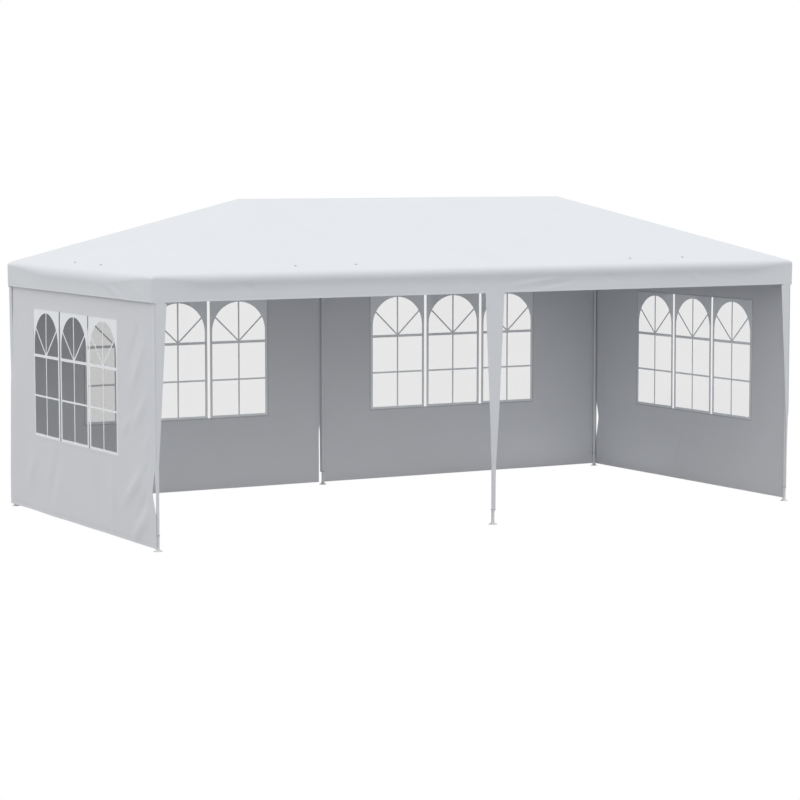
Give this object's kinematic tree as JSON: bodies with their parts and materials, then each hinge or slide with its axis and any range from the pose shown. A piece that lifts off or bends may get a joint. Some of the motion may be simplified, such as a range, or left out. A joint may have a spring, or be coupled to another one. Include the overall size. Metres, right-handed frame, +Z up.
{
  "type": "marquee tent",
  "caption": "Rectangular party marquee with a white hipped cover, windowed side walls on the back and both ends, tapered leg drapes and an open front.",
  "frame": {"origin": "on the ground under the middle of the tent", "axes": "+X along the long side to the right as seen from the open front, +Y to the back, +Z up"},
  "size_m": [5.868, 2.968, 2.571],
  "materials": {
    "steel": "white powder coat",
    "cover_fabric": "white woven polyethylene sheet, slight sheen",
    "wall_fabric": "white woven polyethylene sheet, slight sheen",
    "window_film": "clear soft plastic film with printed white window bars"
  },
  "bodies": {
    "root": {"leg_front_left": "steel", "leg_front_middle": "steel", "leg_front_right": "steel", "leg_back_left": "steel", "leg_back_middle": "steel", "leg_back_right": "steel", "foot_front_left": "steel", "foot_front_middle": "steel", "foot_front_right": "steel", "foot_back_left": "steel", "foot_back_middle": "steel", "foot_back_right": "steel", "eave_joint_front_left": "steel", "eave_joint_front_middle": "steel", "eave_joint_front_right": "steel", "eave_joint_back_left": "steel", "eave_joint_back_middle": "steel", "eave_joint_back_right": "steel", "ridge_joint_left": "steel", "ridge_joint_middle": "steel", "ridge_joint_right": "steel", "eave_tube_front_left": "steel", "eave_tube_front_right": "steel", "eave_tube_back_left": "steel", "eave_tube_back_right": "steel", "eave_tube_left_end": "steel", "eave_tube_right_end": "steel", "ridge_tube_left": "steel", "ridge_tube_right": "steel", "hip_rafter_front_left": "steel", "hip_rafter_front_right": "steel", "hip_rafter_back_left": "steel", "hip_rafter_back_right": "steel", "rafter_front_middle": "steel", "rafter_back_middle": "steel", "roof_cover": "cover_fabric", "leg_drape_front_left": "cover_fabric", "leg_drape_front_middle": "cover_fabric", "leg_drape_front_right": "cover_fabric", "leg_drape_back_left": "cover_fabric", "leg_drape_back_middle": "cover_fabric", "leg_drape_back_right": "cover_fabric", "wall_left_end": "wall_fabric", "wall_right_end": "wall_fabric", "wall_back_left": "wall_fabric", "wall_back_right": "wall_fabric", "window_left_end": "window_film", "window_right_end": "window_film", "window_back_left": "window_film", "window_back_right": "window_film"}
  },
  "joints": []
}
